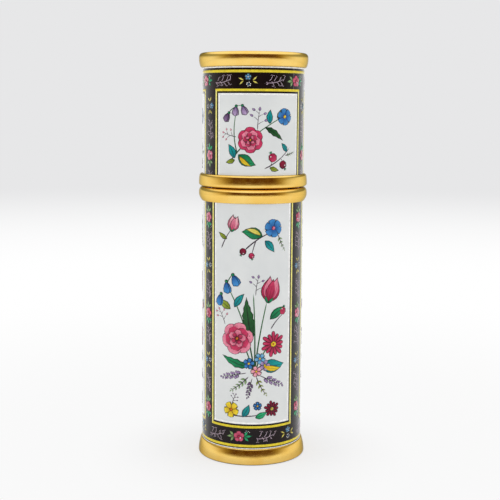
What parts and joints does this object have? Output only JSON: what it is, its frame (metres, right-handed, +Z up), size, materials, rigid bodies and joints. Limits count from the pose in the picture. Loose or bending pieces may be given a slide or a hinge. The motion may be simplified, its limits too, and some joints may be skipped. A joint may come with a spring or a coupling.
{
  "type": "lipstick case",
  "caption": "Slim round swivel lipstick case: enamelled tubes in gilt collars, pull-off cap, and a keyed refill that twists up.",
  "frame": {"origin": "centre of the foot, on the surface that the case stands on", "axes": "+Z up along the case's axis, towards the cap; the front of the decoration is -Y"},
  "size_m": [0.022, 0.022, 0.082],
  "materials": {
    "gilt": "polished gold plate",
    "enamel": "glossy fired enamel on copper, white panels in dark floral borders",
    "drawn_brass": "satin",
    "ballast_steel": "turned",
    "spring_steel": "bright",
    "black_plastic": "moulded",
    "ivory_plastic": "moulded",
    "brake_rubber": "soft silicone",
    "lipstick": "satin wax"
  },
  "bodies": {
    "case": {"body_tube": "enamel", "body_mouth_collar": "gilt", "foot_collar": "gilt", "foot_plate": "gilt", "base_plug": "black_plastic", "base_weight": "ballast_steel", "holder_sleeve": "drawn_brass"},
    "refill": {"spiral_tube": "ivory_plastic", "drive_plug": "black_plastic"},
    "guide": {"guide_tube": "ivory_plastic", "neck_sleeve": "gilt", "brake_rings": "brake_rubber", "snap_ring": "spring_steel"},
    "carrier": {"product_cup": "ivory_plastic", "lipstick_bullet": "lipstick"},
    "cap_grip": {"grip_ring": "spring_steel"},
    "cap": {"cap_tube": "enamel", "cap_mouth_collar": "gilt", "cap_top_collar": "gilt", "cap_top_plate": "gilt", "cap_liner": "drawn_brass"}
  },
  "joints": [
    {"name": "refill_pull", "type": "slide", "parent": "case", "child": "refill", "axis": [0, 0, 1], "range_m": [0, 0.045]},
    {"name": "swivel", "type": "hinge", "parent": "refill", "child": "guide", "pos_m": [0, 0, 0.0554], "axis": [0, 0, 1], "range_deg": [0, 450]},
    {"name": "cup_lift", "type": "slide", "parent": "guide", "child": "carrier", "axis": [0, 0, 1], "range_m": [0, 0.016]},
    {"name": "cap_pull", "type": "slide", "parent": "guide", "child": "cap_grip", "axis": [0, 0, 1], "range_m": [0, 0.03]},
    {"name": "cap_turn", "type": "hinge", "parent": "cap_grip", "child": "cap", "pos_m": [0, 0, 0.0599], "axis": [0, 0, 1], "continuous": true}
  ],
  "couplings": [
    {"joint": "cup_lift", "follows": "swivel", "m_per_rad": 0.0020372}
  ]
}
